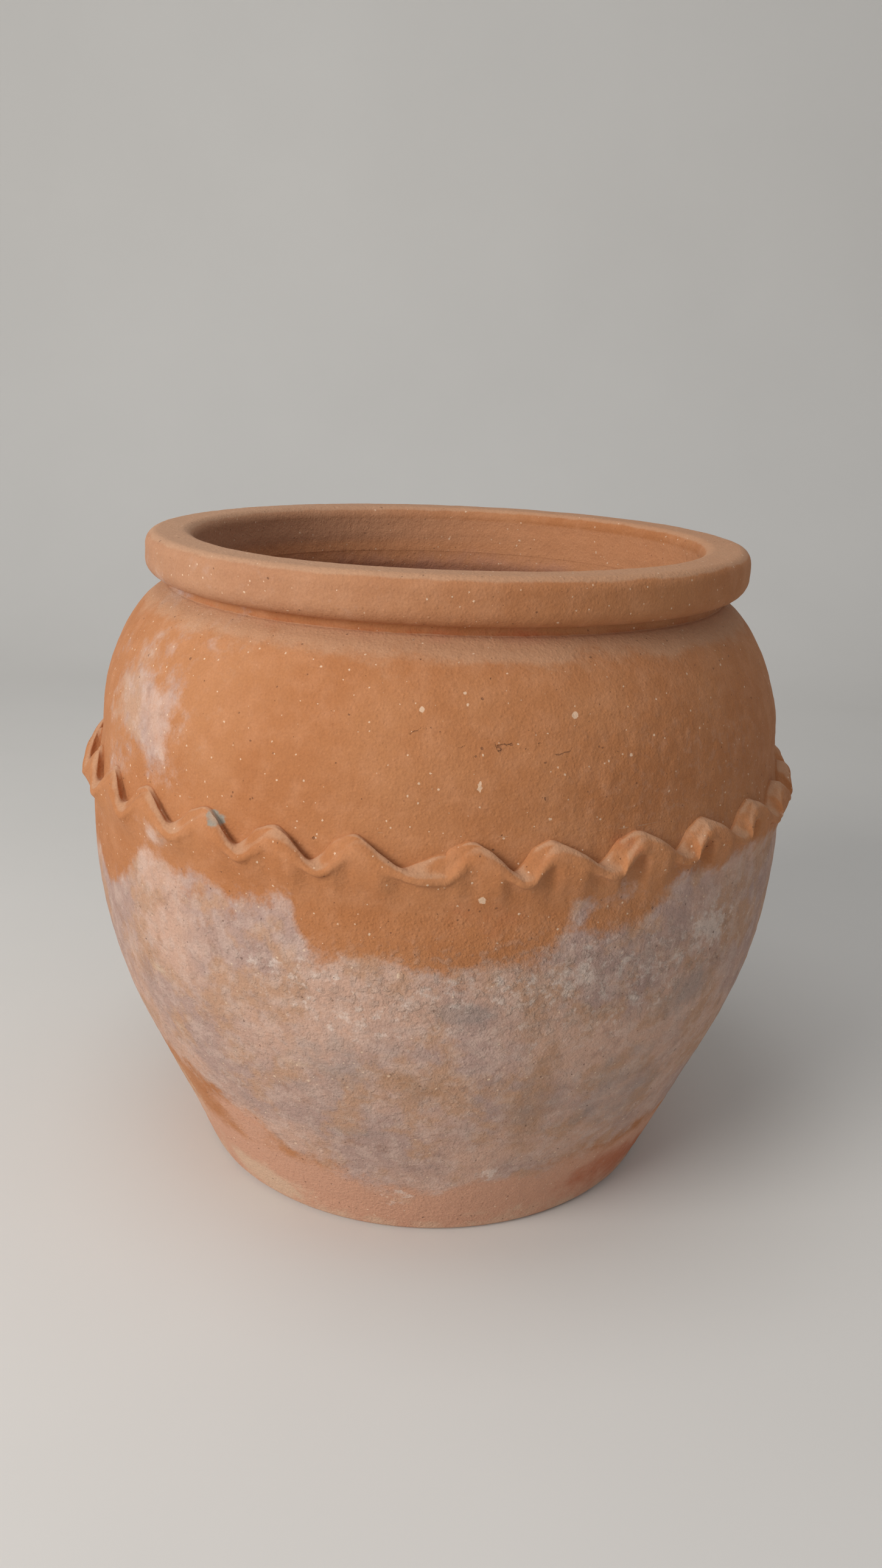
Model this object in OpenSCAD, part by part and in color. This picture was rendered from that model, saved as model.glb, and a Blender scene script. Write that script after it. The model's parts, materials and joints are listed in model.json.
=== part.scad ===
// Hand-thrown terracotta pot with a frilled belly.
// The pot is laid up from clay pieces that are luted together before firing: a floor slab, a coil worked
// into the floor corner, three thrown rings, a rim coil, and a frill pressed on as two strips.
// Millimetres, +Z up, origin at the centre of the underside, where the drain hole opens.

/* [Overall] */
// Height from the ground to the top of the rim
pot_h = 430; // [428:1:440]
// Thickness of the thrown wall
wall_t = 15; // [12:0.5:17]

/* [Floor] */
// Radius of the underside
foot_r = 163.5; // [155:0.5:170]
// Thickness of the floor slab
floor_t = 16; // [12:1:20]
// Radius of the drain hole
drain_r = 15; // [8:0.5:25]
// Rounding of the bottom edge
foot_round = 3; // [1:0.5:5]
// Leg of the coil worked into the corner of floor and wall
coil_leg = 15; // [8:1:24]

/* [Body] */
// Largest radius of the body
belly_r = 236.5; // [230:0.5:245]
// Height of the largest radius
belly_z = 240; // [225:1:250]
// How far the wall leans out as it leaves the foot
foot_lean = 35; // [20:1:40]
// Radius where the shoulder meets the rim
neck_r = 186.5; // [184:0.5:190]
// Height where the shoulder meets the rim
neck_z = 396; // [390:1:398]

/* [Rim] */
// Outer radius of the rim
rim_r = 199; // [196:0.5:204]
// Radius of the mouth
mouth_r = 168; // [160:0.5:171]
// Rounding of the rim's lower outer edge
rim_round_low = 11; // [6:0.5:12]
// Rounding of the rim's two top edges
rim_round_top = 8; // [4:0.5:10]
// Height of the crease between shoulder and rim
crease_h = 6; // [2:0.5:7]
// Height of the nearly straight throat below the rim
throat_h = 15; // [5:1:20]

/* [Frill] */
// Height of the middle of the frill
frill_z = 286; // [278:1:292]
// How far the frill stands out from its seat
frill_out = 17; // [10:0.5:20]
// Number of waves around the pot
frill_waves = 33; // [24:1:40]
// Rise and fall of the frill's free edge
frill_wave_h = 8; // [3:0.5:10]
// Thickness of the frill at its free edge
frill_edge_t = 6; // [4:0.5:8]
// Angle of the join between the two strips, from -Y towards +X
frill_join = 1.5; // [-20:0.5:20]

/* [Luting joints] */
// Height of the joint between the shoulder ring and the neck ring
upper_joint_z = 348; // [335:1:360]
// Height of the ridge that keys one ring into the next
ridge_h = 4; // [2:0.5:6]

/* [Hidden] */
$fn = 180;
facet_h = 11;           // height of one facet up the outline of a ring
arc_steps = 6;          // facets in each rounded edge
seat_h = 24;            // height of the flat groove that the frill is pressed into
seat_depth = 2;         // depth of that groove
waist_depth = 3.5;      // how far the wall is drawn in just above the frill
waist_z = frill_z + 11; // height where it is drawn in most
waist_h = 25;           // height over which it returns
root_half = 11.5;       // half the height of the frill's root
strip_step = 1;         // degrees between stations along a frill strip
slip_gap = 0.05;        // film of slip between the frill and its seat
end_gap = 0.02;         // degrees between the two strips at each join
rim_low_z = neck_z + crease_h;
throat_z = neck_z - throat_h;
throat_flare = 1.5;     // how much wider the throat is at its lower end
throat_r = mouth_r + throat_flare;
clay = "#c07a4e";
bloomed_clay = "#c3a08c";

// ---- curves -------------------------------------------------------------------------------------
// A point of the cubic Bezier curve through four [radius, height] points.
function bezier(p, t) =
    pow(1 - t, 3) * p[0] + 3 * pow(1 - t, 2) * t * p[1] + 3 * (1 - t) * t * t * p[2] + pow(t, 3) * p[3];

// The curve's radius at height z, found by halving the interval of its parameter.
function bezier_r(p, z, lo = 0, hi = 1, halvings = 26) =
    let (mid = (lo + hi) / 2, point = bezier(p, mid))
    halvings == 0 ? point[0]
    : point[1] < z ? bezier_r(p, z, mid, hi, halvings - 1)
    : bezier_r(p, z, lo, mid, halvings - 1);

// Points of an arc of radius r about centre c, from angle a0 to a1.
function arc(c, r, a0, a1) =
    [for (i = [0:arc_steps]) let (a = a0 + (a1 - a0) * i / arc_steps) c + r * [cos(a), sin(a)]];

// ---- wall ---------------------------------------------------------------------------------------
outer_low = [[foot_r, 0], [foot_r + foot_lean, 93], [belly_r, belly_z - 97], [belly_r, belly_z]];
outer_high = [[belly_r, belly_z], [belly_r, belly_z + 53], [neck_r + 41, neck_z - 27], [neck_r, neck_z]];
inner_low = [for (p = outer_low) p - [wall_t, 0]];
inner_high = [[belly_r - wall_t, belly_z], [belly_r - wall_t, belly_z + 50],
              [throat_r + 38, throat_z - 33], [throat_r, throat_z]];

function waist(z) = waist_depth * exp(-pow((z - waist_z) / waist_h, 2));
function outer_r(z) = bezier_r(z < belly_z ? outer_low : outer_high, z) - waist(z);
function inner_r(z) =
    z > throat_z ? mouth_r + throat_flare * (neck_z - z) / throat_h
    : bezier_r(z < belly_z ? inner_low : inner_high, z);
seat_r = outer_r(frill_z) - seat_depth;

// Heights from z0 to z1 in even steps of about one facet.
function heights(z0, z1) =
    let (n = ceil(abs(z1 - z0) / facet_h)) [for (i = [0:n]) z0 + (z1 - z0) * i / n];
function outer_line(z0, z1) = [for (z = heights(z0, z1)) [outer_r(z), z]];
function inner_line(z0, z1) = [for (z = heights(z0, z1)) [inner_r(z), z]];

// Luting joint at height z, drawn from radius a towards radius b: a ridge on the lower piece, which
// sits in the groove of the upper one.
function key(z, a, b) =
    let (m = (a + b) / 2, w = (b - a) / 4) [[m - w, z], [m, z + ridge_h], [m + w, z]];
function wall_key_out(z) = key(z, inner_r(z), outer_r(z));
function wall_key_in(z) = key(z, outer_r(z), inner_r(z));

// ---- floor --------------------------------------------------------------------------------------
module floor_slab() {
    color(bloomed_clay)
    difference() {
        rotate_extrude()
            polygon(concat([[0, 0]],
                           arc([foot_r - foot_round, foot_round], foot_round, -90, 0),
                           [[outer_r(floor_t), floor_t]],
                           wall_key_in(floor_t),
                           [[inner_r(floor_t), floor_t], [0, floor_t]]));
        translate([0, 0, -1])
            cylinder(r = drain_r, h = floor_t + 2);
    }
}

// Coil of clay pressed hollow into the corner between the floor and the wall.
module floor_coil() {
    top_z = floor_t + coil_leg;
    corner = [inner_r(floor_t), floor_t];
    on_wall = [inner_r(top_z), top_z];
    on_floor = corner - [coil_leg, 0];
    middle = corner + ((on_wall + on_floor) / 2 - corner) * 0.45;
    color(clay)
    rotate_extrude()
        polygon(concat([corner],
                       [for (i = [0:arc_steps]) let (t = i / arc_steps)
                        pow(1 - t, 2) * on_wall + 2 * t * (1 - t) * middle + t * t * on_floor]));
}

// ---- thrown rings -------------------------------------------------------------------------------
module body_ring() {
    seat_low = frill_z - seat_h / 2;
    color(bloomed_clay)
    rotate_extrude()
        polygon(concat(outer_line(floor_t, seat_low),
                       [[seat_r, seat_low], [seat_r, frill_z]],
                       key(frill_z, seat_r, inner_r(frill_z)),
                       inner_line(frill_z, floor_t),
                       wall_key_out(floor_t)));
}

module shoulder_ring() {
    seat_high = frill_z + seat_h / 2;
    color(clay)
    rotate_extrude()
        polygon(concat([[seat_r, frill_z], [seat_r, seat_high]],
                       outer_line(seat_high, upper_joint_z),
                       wall_key_in(upper_joint_z),
                       inner_line(upper_joint_z, frill_z),
                       key(frill_z, inner_r(frill_z), seat_r)));
}

module neck_ring() {
    color(clay)
    rotate_extrude()
        polygon(concat(outer_line(upper_joint_z, neck_z),
                       wall_key_in(neck_z),
                       [[mouth_r, neck_z]],
                       inner_line(throat_z, upper_joint_z),
                       wall_key_out(upper_joint_z)));
}

// ---- rim ----------------------------------------------------------------------------------------
module rim_coil() {
    low = min(rim_round_low, rim_r - outer_r(neck_z) - 0.5);
    top = min(rim_round_top, (rim_r - mouth_r) / 2 - 1);
    color(clay)
    rotate_extrude()
        polygon(concat([[outer_r(neck_z), neck_z], [outer_r(neck_z), rim_low_z]],
                       arc([rim_r - low, rim_low_z + low], low, -90, 0),
                       arc([rim_r - top, pot_h - top], top, 0, 90),
                       arc([mouth_r + top, pot_h - top], top, 90, 180),
                       [[mouth_r, neck_z]],
                       wall_key_out(neck_z)));
}

// ---- frill --------------------------------------------------------------------------------------
// Section of the ribbon at angle a, as [distance from the seat, height above the frill's middle]. It
// runs from the seat over the top to the free edge and back underneath. The free edge waves up and
// down and the root stays level, so each crest is hollow below and each dip is hollow above.
function frill_section(a) =
    let (wave = frill_wave_h * sin(frill_waves * a),
         half = frill_edge_t / 2,
         top = wave + half,
         under = wave - half,
         top_bend = root_half + (top - root_half) * 0.75,
         under_bend = -root_half + (under + root_half) * 0.75)
    [[0, root_half],
     [frill_out * 0.4, top_bend],
     [frill_out * 0.8, top],
     [frill_out, wave + half * 0.4],
     [frill_out, wave - half * 0.4],
     [frill_out * 0.8, under],
     [frill_out * 0.4, under_bend],
     [0, -root_half]];

// A strip from angle a0 to a1, measured from -Y towards +X. Neighbouring stations are joined by a band
// of triangles, and each end is closed by the section itself.
module frill_strip(a0, a1) {
    n = ceil((a1 - a0) / strip_step);
    k = len(frill_section(0));
    root_r = seat_r / cos(strip_step / 2) + slip_gap;
    points = [for (i = [0:n]) let (a = a0 + (a1 - a0) * i / n) for (p = frill_section(a))
              [(root_r + p[0]) * sin(a), -(root_r + p[0]) * cos(a), frill_z + p[1]]];
    bands = [for (i = [0:n - 1]) for (j = [0:k - 1])
             let (here = i * k + j, next = i * k + (j + 1) % k)
             each [[here, next, next + k], [here, next + k, here + k]]];
    first_end = [for (j = [k - 1:-1:0]) j];
    last_end = [for (j = [0:k - 1]) n * k + j];
    color(clay)
    polyhedron(points = points, faces = concat(bands, [first_end, last_end]), convexity = 6);
}

module frill_strip_left() {
    frill_strip(frill_join - 180 + end_gap, frill_join - end_gap);
}

module frill_strip_right() {
    frill_strip(frill_join + end_gap, frill_join + 180 - end_gap);
}

floor_slab();
floor_coil();
body_ring();
shoulder_ring();
neck_ring();
rim_coil();
frill_strip_left();
frill_strip_right();
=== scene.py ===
# Looks of a hand-thrown terracotta pot with a pinched frill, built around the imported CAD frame.
# Every clay piece is a closed mesh computed here: a turned outline, bent and marked by hand-made noise.
# Metres, +Z up. Angles are in degrees from -Y towards +X, so angle 0 is near the frill's join at the front.
import json
import math

import bpy
import numpy as np
from mathutils import Matrix, Vector


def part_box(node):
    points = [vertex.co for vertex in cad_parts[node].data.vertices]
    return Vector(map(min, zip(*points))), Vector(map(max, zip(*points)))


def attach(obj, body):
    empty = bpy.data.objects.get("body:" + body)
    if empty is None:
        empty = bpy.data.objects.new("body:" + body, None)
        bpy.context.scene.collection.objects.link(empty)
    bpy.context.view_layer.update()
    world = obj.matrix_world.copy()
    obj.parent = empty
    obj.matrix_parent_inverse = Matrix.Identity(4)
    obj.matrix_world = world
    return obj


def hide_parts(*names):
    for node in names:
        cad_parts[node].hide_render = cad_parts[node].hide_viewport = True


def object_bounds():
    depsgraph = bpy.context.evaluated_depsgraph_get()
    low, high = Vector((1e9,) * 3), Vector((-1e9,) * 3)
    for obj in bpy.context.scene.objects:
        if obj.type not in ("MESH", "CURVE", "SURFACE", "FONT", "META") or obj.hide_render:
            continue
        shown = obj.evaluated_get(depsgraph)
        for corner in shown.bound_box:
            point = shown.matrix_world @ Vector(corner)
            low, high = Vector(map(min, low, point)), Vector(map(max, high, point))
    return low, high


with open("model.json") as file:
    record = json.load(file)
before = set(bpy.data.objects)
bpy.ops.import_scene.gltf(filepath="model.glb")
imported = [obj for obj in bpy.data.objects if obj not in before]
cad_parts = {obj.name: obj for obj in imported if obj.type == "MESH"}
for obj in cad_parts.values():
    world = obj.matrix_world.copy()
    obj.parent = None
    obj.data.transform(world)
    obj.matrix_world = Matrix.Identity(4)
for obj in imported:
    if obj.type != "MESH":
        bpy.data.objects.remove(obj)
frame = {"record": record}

CAD_BOX = [list(corner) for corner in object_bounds()]
MM = 0.001
MOUNTS = {mount["name"]: mount for mount in frame["record"]["mounts"]}

# ---- sizes, read from the frame -----------------------------------------------------------------
POT_H = CAD_BOX[1][2]
MOUTH_R = MOUNTS["mouth"]["dims"]["r_mm"] * MM
DRAIN_R = MOUNTS["drain_hole"]["dims"]["r_mm"] * MM
FLOOR_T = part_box("body_ring")[0].z
COIL_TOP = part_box("floor_coil")[1].z
BELLY_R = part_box("body_ring")[1].x
FRILL_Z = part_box("shoulder_ring")[0].z
UPPER_JOINT_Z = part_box("neck_ring")[0].z
NECK_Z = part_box("rim_coil")[0].z
RIM_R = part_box("rim_coil")[1].x
SEAT_HALF = (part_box("frill_strip_left")[1].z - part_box("frill_strip_left")[0].z) / 2 + 0.5 * MM

# ---- sizes that the frame doesn't name, as in the part's source ---------------------------------
BELLY_Z = 240 * MM
FOOT_R = 163.5 * MM
FOOT_LEAN = 35 * MM
FOOT_ROUND = 3 * MM
NECK_R = 186.5 * MM
WALL_T = 15 * MM
WAIST_DEPTH = 3.5 * MM
WAIST_Z = FRILL_Z + 11 * MM
WAIST_H = 25 * MM
SEAT_DEPTH = 2 * MM
RIDGE_H = 4 * MM
COIL_LEG = COIL_TOP - FLOOR_T
CREASE_H = 6 * MM
COVE_DEPTH = 1.8 * MM
COVE_LOW = NECK_Z - 12 * MM
COVE_HIGH = NECK_Z + 2 * MM
THROAT_Z = NECK_Z - 15 * MM
THROAT_R = MOUTH_R + 1.5 * MM
RIM_ROUND_LOW = 11 * MM
RIM_ROUND_TOP = 8 * MM
FRILL_JOIN = 1.5        # angle of the front join between the two strips, in degrees


# ---- noise --------------------------------------------------------------------------------------
def lattice(seed):
    """Shuffled numbers 0 to 255, twice over, for hashing a cell of space."""
    order = np.random.RandomState(seed).permutation(256)
    return np.concatenate([order, order])


GRADIENTS = np.random.RandomState(5).normal(size=(256, 3))
GRADIENTS /= np.linalg.norm(GRADIENTS, axis=1)[:, None]
LATTICES = {}


def gradient_noise(points, seed):
    """Smooth noise of about -1 to 1 at points given in units of one noise cell."""
    if seed not in LATTICES:
        LATTICES[seed] = lattice(seed)
    table = LATTICES[seed]
    cell = np.floor(points).astype(int)
    inside = points - cell
    fade = inside ** 3 * (inside * (inside * 6 - 15) + 10)
    total = np.zeros(len(points))
    for dx in (0, 1):
        for dy in (0, 1):
            for dz in (0, 1):
                corner = (cell + (dx, dy, dz)) & 255
                hashed = table[table[table[corner[:, 0]] + corner[:, 1]] + corner[:, 2]]
                slope = (GRADIENTS[hashed] * (inside - (dx, dy, dz))).sum(axis=1)
                weight = np.where(dx, fade[:, 0], 1 - fade[:, 0])
                weight = weight * np.where(dy, fade[:, 1], 1 - fade[:, 1])
                weight = weight * np.where(dz, fade[:, 2], 1 - fade[:, 2])
                total += weight * slope
    return total * 1.6


def fractal(points, size, octaves, seed):
    """Noise with detail from size downwards, each octave half as large and half as strong."""
    total = np.zeros(len(points))
    for octave in range(octaves):
        total += gradient_noise(points * (2 ** octave / size), seed + octave) / 2 ** octave
    return total / (2 - 2 ** (1 - octaves))


def smooth(low, high, x):
    """0 below low, 1 above high, and a smooth rise between them."""
    t = np.clip((x - low) / (high - low), 0, 1)
    return t * t * (3 - 2 * t)


# ---- the wall's outline -------------------------------------------------------------------------
def bezier(points, t):
    """Points of a cubic Bezier curve at the parameters t."""
    p = np.array(points, float)
    t = np.asarray(t)[:, None]
    return (1 - t) ** 3 * p[0] + 3 * (1 - t) ** 2 * t * p[1] + 3 * (1 - t) * t * t * p[2] + t ** 3 * p[3]


DENSE = np.linspace(0, 1, 500)
OUTER_LOW = [(FOOT_R, 0), (FOOT_R + FOOT_LEAN, 93 * MM), (BELLY_R, BELLY_Z - 97 * MM), (BELLY_R, BELLY_Z)]
OUTER_HIGH = [(BELLY_R, BELLY_Z), (BELLY_R, BELLY_Z + 53 * MM), (NECK_R + 41 * MM, NECK_Z - 27 * MM),
              (NECK_R, NECK_Z)]
INNER_LOW = [(r - WALL_T, z) for r, z in OUTER_LOW]
INNER_HIGH = [(BELLY_R - WALL_T, BELLY_Z), (BELLY_R - WALL_T, BELLY_Z + 50 * MM),
              (THROAT_R + 38 * MM, THROAT_Z - 33 * MM), (THROAT_R, THROAT_Z)]
OUTER = np.concatenate([bezier(OUTER_LOW, DENSE), bezier(OUTER_HIGH, DENSE)[1:]])
INNER = np.concatenate([bezier(INNER_LOW, DENSE), bezier(INNER_HIGH, DENSE)[1:], [(MOUTH_R, NECK_Z)]])


def outer_r(z):
    """The outer wall's radius at height z, with a waist over the frill and a cove under the rim."""
    waist = WAIST_DEPTH * np.exp(-((z - WAIST_Z) / WAIST_H) ** 2)
    cove = COVE_DEPTH * smooth(COVE_LOW, COVE_HIGH, z)
    return np.interp(z, OUTER[:, 1], OUTER[:, 0]) - waist - cove


def inner_r(z):
    """The inner wall's radius, averaged over 16 mm of height so that the throat's corner is rounded."""
    return sum(np.interp(z + shift * MM, INNER[:, 1], INNER[:, 0]) for shift in range(-8, 9, 2)) / 9


SEAT_R = float(outer_r(FRILL_Z)) - SEAT_DEPTH


def outer_run(z0, z1, rows):
    """Points along the outer wall as (radius, height)."""
    z = np.linspace(z0, z1, rows)
    return np.stack([outer_r(z), z], axis=1)


def inner_run(z0, z1, rows):
    """Points along the inner wall as (radius, height)."""
    z = np.linspace(z0, z1, rows)
    return np.stack([inner_r(z), z], axis=1)


def line(a, b, rows):
    """Points along a straight line, both ends included."""
    return np.linspace(a, b, rows)


def arc(centre, radius, a0, a1, rows):
    """Points along an arc, with its angles in degrees."""
    angle = np.radians(np.linspace(a0, a1, rows))
    return np.stack([centre[0] + radius * np.cos(angle), centre[1] + radius * np.sin(angle)], axis=1)


def key(z, a, b, rows=3):
    """Luting joint from radius a to radius b: flat, up the ridge, down the ridge, flat."""
    middle, half = (a + b) / 2, (b - a) / 4
    corners = [(a, z), (middle - half, z), (middle, z + RIDGE_H), (middle + half, z), (b, z)]
    return np.concatenate([line(p, q, rows)[:-1] for p, q in zip(corners, corners[1:])] + [[corners[-1]]])


# ---- hand-made shape ----------------------------------------------------------------------------
SWELL = 1.3 * MM        # how far the wall strays in and out from a true circle
RIM_SHIFT = 1.5 * MM    # how far the rim is pushed off centre
RIM_TILT = 0.6 * MM     # how far the rim rises on one side
RIM_WAVE = 0.5 * MM     # how far the rim's top strays up and down
# Depth of the surface's marks, in mm.
RING_DEPTH = 0.16
DENT_DEPTH = 0.4
GRIT_DEPTH = 0.13
DRAG_DEPTH = 0.2
LUMP_DEPTH = 0.5
PIT_DEPTH = 0.2


def unit(vectors):
    """The vectors at a length of 1."""
    return vectors / np.maximum(np.linalg.norm(vectors, axis=-1, keepdims=True), 1e-12)


def angle_of(points):
    """Angle of each point in degrees, from -Y towards +X."""
    return np.degrees(np.arctan2(points[:, 0], -points[:, 1]))


def handmade(points):
    """Bends space a little, the same for every piece, so that the pot is uneven and joints still meet."""
    radius = np.maximum(np.hypot(points[:, 0], points[:, 1]), 1e-6)
    above_foot = smooth(0, 30 * MM, points[:, 2])
    at_rim = smooth(NECK_Z - 30 * MM, POT_H, points[:, 2])
    swell = fractal(points, 0.15, 2, 11) * SWELL * above_foot
    bent = points.copy()
    bent[:, :2] += points[:, :2] / radius[:, None] * swell[:, None]
    bent[:, 0] += at_rim * RIM_SHIFT
    bent[:, 2] += at_rim * (points[:, 0] / RIM_R * RIM_TILT + gradient_noise(points / 0.11, 17) * RIM_WAVE)
    return bent


def dragged(angle, z):
    """Where the surface was dragged upwards while it was wet: on the right, either side of the frill."""
    sideways = smooth(8, 25, angle) * (1 - smooth(70, 95, angle))
    upright = smooth(170 * MM, 240 * MM, z) * (1 - smooth(330 * MM, 390 * MM, z))
    return sideways * upright


def wall_relief(points, inside):
    """Height of throwing rings, dents, drag marks and pits over the smooth outline."""
    angle = angle_of(points)
    z = points[:, 2]
    wide_rings = gradient_noise(points / (0.3, 0.3, 0.0075), 21)
    fine_rings = gradient_noise(points / (0.4, 0.4, 0.003), 22)
    dents = fractal(points, 0.034, 3, 31)
    grit = fractal(points, 0.0065, 2, 41)
    drag_marks = gradient_noise(points / (0.007, 0.007, 0.024), 51)
    lumps = fractal(points * (1, 1, 0.7), 0.009, 3, 57)
    pits = smooth(0.5, 0.8, gradient_noise(points / 0.0052, 61))
    weathered = 1 - smooth(190 * MM, 260 * MM, z)
    height = (wide_rings + 0.5 * fine_rings) * (RING_DEPTH + 0.1 * inside) + dents * DENT_DEPTH
    height += grit * (GRIT_DEPTH + 0.12 * weathered + 0.2 * inside)
    height += (drag_marks * DRAG_DEPTH + lumps * LUMP_DEPTH) * dragged(angle, z) - pits * PIT_DEPTH
    return height * MM


# ---- stains and painted light -------------------------------------------------------------------
# The edges of the lime bloom as (angle, height), angles in degrees and heights in mm.
BLOOM_TOP = [
    (-180, 238), (-120, 248), (-75, 232), (-60, 222), (-54, 228), (-50, 246), (-46, 261), (-42, 256),
    (-38, 252), (-29, 244), (-23, 251), (-19, 251), (-17, 229), (-13, 225), (-6, 224), (2, 219), (12, 224),
    (16, 230), (18, 242), (22, 240), (27, 243), (30, 249), (34, 259), (40, 267), (52, 270), (90, 258),
    (180, 238),
]
BLOOM_BOTTOM = [
    (-180, 55), (-60, 92), (-46, 96), (-36, 88), (-25, 62), (-12, 48), (0, 44), (12, 52), (22, 48),
    (32, 58), (60, 64), (180, 55),
]
# Patches as (angle, height, half angle, half height, strength), angles in degrees and heights in mm.
PATCHES = {
    "chip": [
        (-2.5, 362, 0.5, 2.2, 1), (19.5, 360, 0.5, 2, 1), (5.7, 325, 0.4, 3, 1),
        (6.4, 265, 0.6, 2, 1), (-4, 219, 0.6, 1.8, 1),
    ],
    "lichen": [(-31.2, 291, 1, 2.6, 1.3), (-32.4, 294, 0.6, 1.6, 1.1)],
    "bloom": [
        (19.5, 254, 2.4, 16, 0.6), (30, 262, 9, 14, 0.3), (-50, 375, 26, 40, 0.24),
        (-45, 416, 40, 14, 0.2), (-53, 338, 10, 22, 0.9), (-46, 326, 6, 20, 0.4), (-43, 306, 5, 10, 0.3),
        (-42, 272, 4, 8, 0.8), (-60, 300, 6, 12, 0.4), (100, 330, 18, 22, 0.9), (160, 345, 20, 15, 0.7),
        (-130, 320, 22, 20, 0.8), (-64, 398, 6, 8, 0.7),
    ],
    "chalk": [
        (2, 208, 9, 10, 0.3), (14, 212, 7, 12, 0.32), (21, 218, 5, 16, 0.38), (32, 210, 9, 22, 0.3),
        (44, 228, 5, 14, 0.3), (-20, 214, 8, 10, 0.25), (13, 58, 2, 6, 0.8), (-5, 32, 3, 9, 0.5),
        (45, 222, 5, 18, 0.45), (-12, 190, 8, 12, 0.25), (10, 180, 30, 25, 0.12),
    ],
    "slate": [
        (5, 195, 4, 7, 1.0), (42, 186, 6, 16, 0.7), (-12, 94, 5, 5, 0.5), (35, 110, 14, 40, 0.35),
        (-15, 150, 10, 45, 0.35), (20, 140, 40, 60, 0.3),
    ],
    "blush": [(-36, 70, 10, 26, 0.9)],
    "crust": [
        (8, 204, 18, 22, 1), (14, 230, 26, 12, 0.35), (36, 205, 22, 40, 0.9), (42, 320, 22, 40, 0.35),
        (10, 110, 40, 60, 0.35), (-60, 120, 30, 60, 0.25), (-20, 205, 14, 20, 0.5),
    ],
    "tan": [
        (-52, 185, 10, 45, 0.45), (17, 120, 5, 55, 0.8), (14, 185, 3, 14, 0.5), (-3, 143, 9, 14, 0.7),
        (28, 95, 6, 20, 0.3),
    ],
    "cream": [
        (-38, 14, 14, 16, 1.0), (-5, 31, 4, 10, 0.5), (-46, 180, 2.5, 4, 0.7), (-20, 148, 3, 5, 0.6),
        (-44, 140, 3, 4, 0.4), (-58, 60, 8, 40, 0.6), (15, 14, 26, 8, 0.35),
    ],
    "rust_and_cove_shade": [
        (40, 36, 16, 18, 0.5), (-36, 76, 7, 16, 0.35), (10, 255, 12, 16, 0.35), (27, 290, 12, 12, 0.4),
        # The band at 396 mm, along the cove under the rim, is painted shade: a darker orange in the crease.
        (60, 20, 20, 20, 0.7), (0, 396, 70, 5, 0.5),
    ],
}
CRACK_Z = UPPER_JOINT_Z + 2 * MM    # height of the line of cracks at angle 0
CRACK_FALL = 0.45 * MM              # how much it falls with each degree


def patch(angle, z, where):
    """One soft-edged patch of stain."""
    a, h, half_angle, half_height, strength = where
    turn = (angle - a + 180) % 360 - 180
    return strength * np.exp(-((turn / half_angle) ** 2 + ((z / MM - h) / half_height) ** 2))


def bloom_band(points, angle, z):
    """The broad belt of lime bloom around the lower half."""
    top = np.interp(angle, *zip(*BLOOM_TOP)) * MM + fractal(points, 0.04, 3, 71) * 5 * MM
    bottom = np.interp(angle, *zip(*BLOOM_BOTTOM)) * MM + fractal(points, 0.05, 2, 73) * 9 * MM
    return smooth(-19 * MM, 17 * MM, top - z) * smooth(-20 * MM, 20 * MM, z - bottom)


def stains(points, inside, facing_up, relief):
    """How much of each stain lies at each point, 0 to 1, before the material breaks up its edges. The paler
    layer on faces turned up is partly dust and partly painted light from above.
    """
    angle = angle_of(points)
    z = points[:, 2]
    outside = 1 - inside
    layers = {name: sum(patch(angle, z, where) for where in spots) for name, spots in PATCHES.items()}
    layers["bloom"] = np.maximum(bloom_band(points, angle, z), layers["bloom"])
    layers = {name: np.clip(layer, 0, 1) * outside for name, layer in layers.items()}
    layers["crust"] = np.maximum(layers["crust"], 0.45 * layers["bloom"])
    foot_edge = (1 - smooth(4 * MM, 20 * MM, z)) * outside
    layers["cream"] = np.maximum(layers["cream"], 0.5 * foot_edge)
    layers["blush"] = np.maximum(layers["blush"], (1 - smooth(35 * MM, 75 * MM, z)) * outside)
    # Paler on faces turned up: partly dust, partly painted light falling from above.
    layers["dust_and_top_light"] = smooth(0.45, 0.95, facing_up) * outside
    layers["inside"] = inside
    layers["deep"] = inside * (1 - smooth(NECK_Z - 45 * MM, NECK_Z + 25 * MM, z))
    on_left = smooth(-0.6, 0.9, -np.sin(np.radians(angle)))
    layers["veil"] = smooth(NECK_Z + 4 * MM, NECK_Z + 12 * MM, z) * on_left
    layers["dragged"] = dragged(angle, z)
    layers["relief"] = relief / MM
    crack_line = CRACK_Z - CRACK_FALL * angle + fractal(points * (1, 1, 0), 0.012, 2, 81) * 1.5 * MM
    layers["crack_at"] = (z - crack_line) / MM
    layers["crack"] = smooth(-8, -4, angle) * (1 - smooth(16, 22, angle)) * outside
    return layers


# ---- meshes -------------------------------------------------------------------------------------
def make_piece(node, vertices, faces, layers, material):
    """A smooth-shaded piece that rides on the pot and stands for one CAD node."""
    mesh = bpy.data.meshes.new(node + "_clay")
    mesh.from_pydata(vertices.tolist(), [], faces)
    for layer, values in layers.items():
        attribute = mesh.attributes.new(layer, "FLOAT", "POINT")
        attribute.data.foreach_set("value", np.ascontiguousarray(values, np.float32))
    mesh.materials.append(material)
    mesh.shade_smooth()
    mesh.set_sharp_from_angle(angle=math.radians(50))
    piece = bpy.data.objects.new(node + "_clay", mesh)
    bpy.context.scene.collection.objects.link(piece)
    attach(piece, "root")
    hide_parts(node)
    return piece


def band_faces(stations, section, closed):
    """Quads between neighbouring stations of a closed section."""
    steps = stations if closed else stations - 1
    i, j = np.meshgrid(np.arange(steps), np.arange(section), indexing="ij")
    after, beside = (i + 1) % stations, (j + 1) % section
    corners = [i * section + j, after * section + j, after * section + beside, i * section + beside]
    return np.stack(corners, axis=-1).reshape(-1, 4).tolist()


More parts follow.
